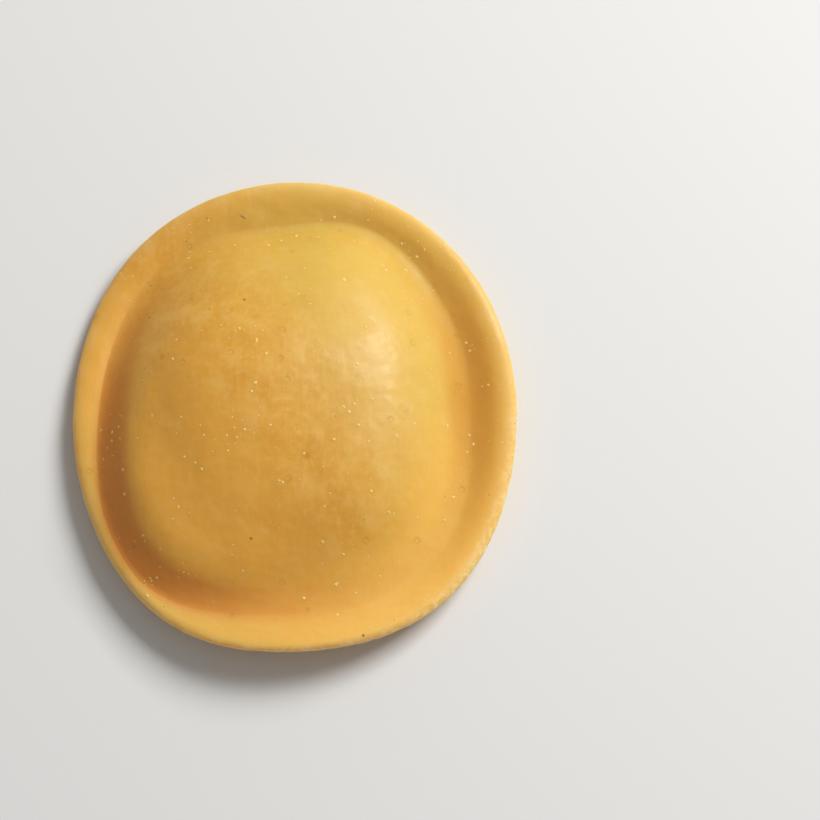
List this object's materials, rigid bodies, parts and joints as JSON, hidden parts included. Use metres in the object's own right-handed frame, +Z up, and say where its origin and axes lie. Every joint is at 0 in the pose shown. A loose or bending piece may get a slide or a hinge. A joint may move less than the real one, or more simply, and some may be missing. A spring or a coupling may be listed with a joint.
{
  "type": "round raviolo",
  "caption": "Round stuffed raviolo of egg pasta: a domed pillow of filling, a pressed groove round it and a flat rim that rises to a rounded lip.",
  "frame": {"origin": "on the surface that the raviolo lies on, under the middle of its box", "axes": "+Z up through the pillow of filling, +Y along the longer side, which is the way the dough was rolled"},
  "size_m": [0.0536, 0.0586, 0.0123],
  "materials": {
    "egg_dough": null
  },
  "bodies": {
    "root": {"raviolo": "egg_dough"}
  },
  "joints": []
}
